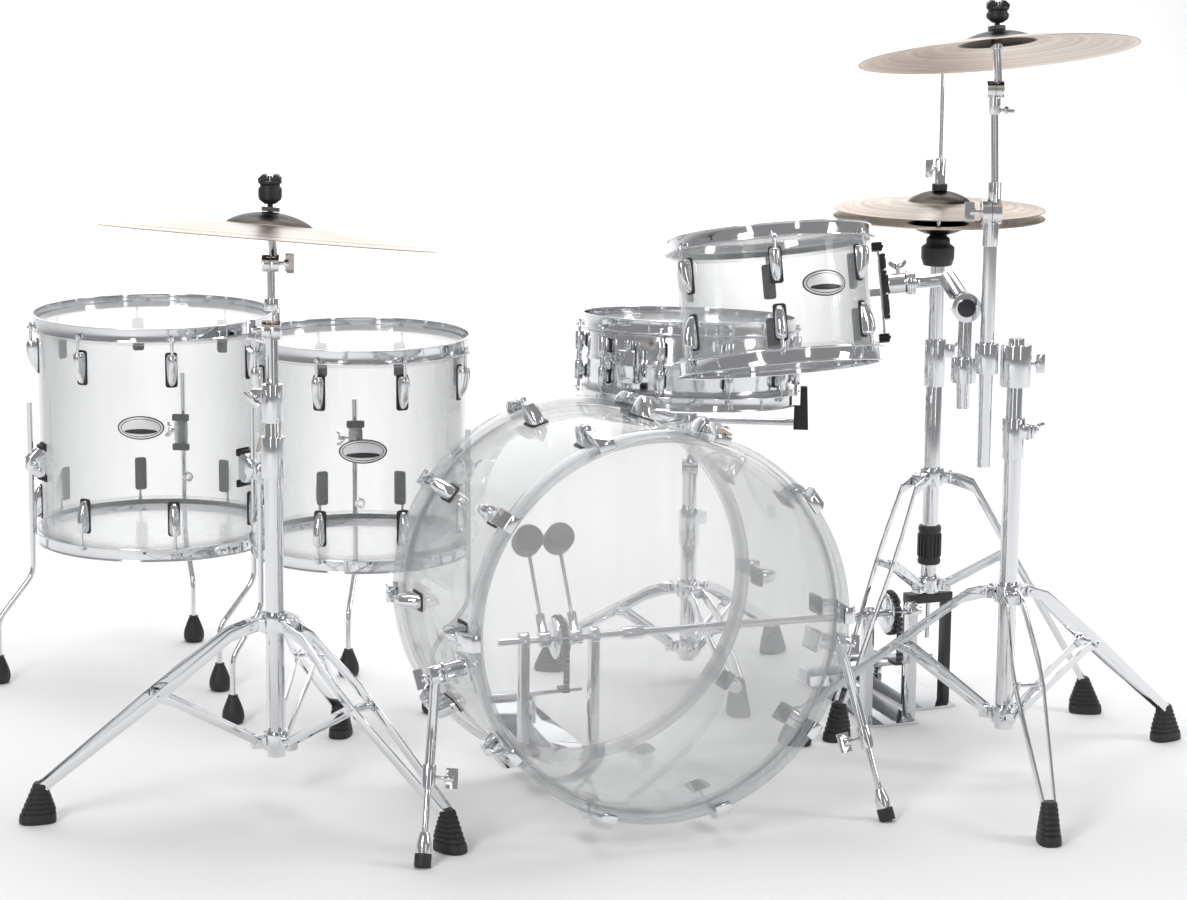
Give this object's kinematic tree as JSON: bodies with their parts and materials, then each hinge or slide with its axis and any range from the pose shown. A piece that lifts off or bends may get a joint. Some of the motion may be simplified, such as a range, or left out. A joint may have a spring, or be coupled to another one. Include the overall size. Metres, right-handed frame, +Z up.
{
  "type": "acoustic drum kit",
  "caption": "Clear-shelled drum kit: bass drum with twin-beater pedal, rack and floor toms, steel snare on its stand, hi-hat and two cymbals on folding chrome stands.",
  "frame": {"origin": "middle of the kit's footprint, on the floor", "axes": "+X to the seated player's left, +Y from the front head of the bass drum towards the player, +Z up"},
  "size_m": [1.9206, 1.6832, 1.23],
  "materials": {
    "clear_acrylic": "polished clear acrylic",
    "clear_film": "clear plastic drum film",
    "chrome": "bright chrome plate",
    "steel": "brushed steel",
    "bronze": "pale lathed cymbal bronze",
    "black_metal": "black powder coat",
    "felt": "dark felt"
  },
  "bodies": {
    "kit": {"bass_shell": "clear_acrylic", "bass_heads": "clear_film", "bass_hoops": "clear_acrylic", "bass_lugs": "chrome", "bass_claws": "chrome", "bass_spur_brackets": "chrome", "floor_tom_16_shell": "clear_acrylic", "floor_tom_heads": "clear_film", "floor_tom_hoops": "chrome", "floor_tom_lugs": "chrome", "floor_tom_14_shell": "clear_acrylic", "floor_tom_leg_brackets": "chrome", "floor_tom_legs": "chrome", "snare_stand_base": "chrome", "left_stand_legs": "chrome", "left_stand_base": "chrome", "right_stand_legs": "chrome", "right_stand_base": "chrome", "hihat_legs": "chrome", "hihat_base": "chrome", "pedal_frame": "black_metal", "slave_pedal_frame": "black_metal"},
    "left_spur": {"bass_spur_left": "chrome"},
    "right_spur": {"bass_spur_right": "chrome"},
    "snare_tube": {"snare_stand_tube": "chrome"},
    "snare": {"snare_basket": "chrome", "snare_shell": "chrome", "snare_hoops": "chrome", "snare_heads": "clear_film", "snare_lugs": "chrome", "snare_strainer": "chrome"},
    "throw_lever": {"snare_throw_lever": "chrome"},
    "rack_tom": {"rack_tom_shell": "clear_acrylic", "rack_tom_hoops": "chrome", "rack_tom_heads": "clear_film", "rack_tom_lugs": "chrome", "rack_tom_mount": "chrome"},
    "tom_post": {"tom_post": "chrome"},
    "tom_arm": {"tom_arm": "chrome"},
    "left_middle": {"left_stand_middle_tube": "chrome"},
    "left_upper": {"left_stand_upper_tube": "chrome"},
    "left_boom": {"left_boom": "chrome"},
    "left_tilter": {"left_tilter": "chrome"},
    "left_felts": {"left_cymbal_felts": "felt"},
    "left_cymbal": {"left_cymbal": "bronze"},
    "right_upper": {"right_stand_upper_tube": "chrome"},
    "right_boom_tube": {"right_boom_tube": "chrome"},
    "right_boom": {"right_boom": "chrome"},
    "right_tilter": {"right_tilter": "chrome"},
    "right_felts": {"right_cymbal_felts": "felt"},
    "right_cymbal": {"right_cymbal": "bronze"},
    "hihat_upper": {"hihat_upper_tube": "chrome", "hihat_bottom_cymbal": "bronze"},
    "hihat_rod": {"hihat_pull_rod": "steel"},
    "hihat_top_cymbal": {"hihat_top_cymbal": "bronze"},
    "hihat_footboard": {"hihat_footboard": "steel"},
    "pedal_footboard": {"pedal_footboard": "steel"},
    "slave_footboard": {"slave_footboard": "steel"},
    "first_beater": {"first_beater": "steel"},
    "second_beater": {"second_beater": "steel"}
  },
  "joints": [
    {"name": "left_spur_fold", "type": "hinge", "parent": "kit", "child": "left_spur", "pos_m": [-0.39035, -0.55094, 0.262], "axis": [-0.981, -0.0088, -0.1938], "range_deg": [0, 70]},
    {"name": "right_spur_fold", "type": "hinge", "parent": "kit", "child": "right_spur", "pos_m": [0.25365, -0.55094, 0.262], "axis": [-0.981, 0.0088, 0.1938], "range_deg": [0, 70]},
    {"name": "snare_height", "type": "slide", "parent": "kit", "child": "snare_tube", "axis": [0, 0, 1], "range_m": [0, 0.08]},
    {"name": "snare_tilt", "type": "hinge", "parent": "snare_tube", "child": "snare", "pos_m": [0.30365, 0.23706, 0.382], "axis": [0.9449, -0.3272, 0], "range_deg": [-8, 8]},
    {"name": "throw_lever_turn", "type": "hinge", "parent": "snare", "child": "throw_lever", "pos_m": [0.14439, 0.12015, 0.57208], "axis": [0.6016, -0.7984, 0.0245], "range_deg": [0, 60]},
    {"name": "left_middle_height", "type": "slide", "parent": "kit", "child": "left_middle", "axis": [0, 0, 1], "range_m": [-0.015, 0.15]},
    {"name": "left_upper_height", "type": "slide", "parent": "left_middle", "child": "left_upper", "axis": [0, 0, 1], "range_m": [-0.05, 0.15]},
    {"name": "left_boom_tilt", "type": "hinge", "parent": "left_upper", "child": "left_boom", "pos_m": [-0.56135, -0.25694, 0.737], "axis": [0.945, -0.327, 0], "range_deg": [-30, 30]},
    {"name": "left_tilter_tilt", "type": "hinge", "parent": "left_boom", "child": "left_tilter", "pos_m": [-0.56135, -0.25694, 0.838], "axis": [0.945, -0.327, 0], "range_deg": [-25, 25]},
    {"name": "left_cymbal_swing", "type": "hinge", "parent": "left_tilter", "child": "left_felts", "pos_m": [-0.56135, -0.25694, 0.914], "axis": [0.9449, -0.3272, 0], "range_deg": [-8, 8]},
    {"name": "left_cymbal_spin", "type": "hinge", "parent": "left_felts", "child": "left_cymbal", "pos_m": [-0.56135, -0.25694, 0.914], "axis": [0.1101, 0.0905, 0.9898], "continuous": true},
    {"name": "right_height", "type": "slide", "parent": "kit", "child": "right_upper", "axis": [0, 0, 1], "range_m": [-0.02, 0.1]},
    {"name": "boom_height", "type": "slide", "parent": "right_upper", "child": "right_boom_tube", "axis": [0, 0, 1], "range_m": [-0.05, 0.12]},
    {"name": "right_boom_tilt", "type": "hinge", "parent": "right_boom_tube", "child": "right_boom", "pos_m": [0.53215, -0.45764, 0.905], "axis": [0.9449, -0.3272, 0], "range_deg": [-25, 40]},
    {"name": "right_tilter_tilt", "type": "hinge", "parent": "right_boom", "child": "right_tilter", "pos_m": [0.53215, -0.45764, 1.094], "axis": [0.9449, -0.3272, 0], "range_deg": [-25, 25]},
    {"name": "right_cymbal_swing", "type": "hinge", "parent": "right_tilter", "child": "right_felts", "pos_m": [0.53215, -0.45764, 1.182], "axis": [0.9449, -0.3272, 0], "range_deg": [-6, 6]},
    {"name": "right_cymbal_spin", "type": "hinge", "parent": "right_felts", "child": "right_cymbal", "pos_m": [0.53215, -0.45764, 1.182], "axis": [-0.0144, 0.2044, 0.9788], "continuous": true},
    {"name": "tom_post_swivel", "type": "hinge", "parent": "right_upper", "child": "tom_post", "pos_m": [0.52365, -0.39494, 0.65], "axis": [0, 0, 1], "range_deg": [-8, 8]},
    {"name": "tom_arm_tilt", "type": "hinge", "parent": "tom_post", "child": "tom_arm", "pos_m": [0.52365, -0.39494, 0.748], "axis": [-0.3272, -0.9449, 0], "range_deg": [-8, 8]},
    {"name": "tom_roll", "type": "hinge", "parent": "tom_arm", "child": "rack_tom", "pos_m": [0.44654, -0.29173, 0.77342], "axis": [0.9409, -0.3258, 0.0924], "range_deg": [-10, 10]},
    {"name": "hihat_height", "type": "slide", "parent": "kit", "child": "hihat_upper", "axis": [0, 0, 1], "range_m": [-0.12, 0]},
    {"name": "hihat_rod_slide", "type": "slide", "parent": "kit", "child": "hihat_rod", "axis": [0, 0, 1], "range_m": [-0.01, 0], "stiffness_N_per_m": 1500, "springref_m": 0.02},
    {"name": "hihat_top_cymbal_spin", "type": "hinge", "parent": "hihat_rod", "child": "hihat_top_cymbal", "pos_m": [0.63365, -0.05394, 0.8903], "axis": [0, 0, 1], "continuous": true},
    {"name": "hihat_footboard_press", "type": "hinge", "parent": "kit", "child": "hihat_footboard", "pos_m": [0.61994, 0.2077, 0.022], "axis": [0.9986, 0.0523, 0], "range_deg": [0, 2.5]},
    {"name": "pedal_press", "type": "hinge", "parent": "kit", "child": "pedal_footboard", "pos_m": [-0.06035, 0.13706, 0.02], "axis": [1, 0, 0], "range_deg": [0, 6.4]},
    {"name": "slave_press", "type": "hinge", "parent": "kit", "child": "slave_footboard", "pos_m": [0.52765, 0.13706, 0.02], "axis": [1, 0, 0], "range_deg": [0, 6.4]},
    {"name": "first_beater_turn", "type": "hinge", "parent": "kit", "child": "first_beater", "pos_m": [-0.08535, -0.13094, 0.19], "axis": [1, 0, 0], "range_deg": [0, 54.8], "stiffness_Nm_per_rad": 0.5, "springref_deg": -45.84},
    {"name": "second_beater_turn", "type": "hinge", "parent": "kit", "child": "second_beater", "pos_m": [-0.03135, -0.13094, 0.19], "axis": [1, 0, 0], "range_deg": [0, 54.8], "stiffness_Nm_per_rad": 0.5, "springref_deg": -45.84}
  ],
  "couplings": [
    {"joint": "hihat_rod_slide", "follows": "hihat_footboard_press", "m_per_rad": -0.225},
    {"joint": "first_beater_turn", "follows": "pedal_press", "ratio": 8.5294},
    {"joint": "second_beater_turn", "follows": "slave_press", "ratio": 8.5294}
  ]
}
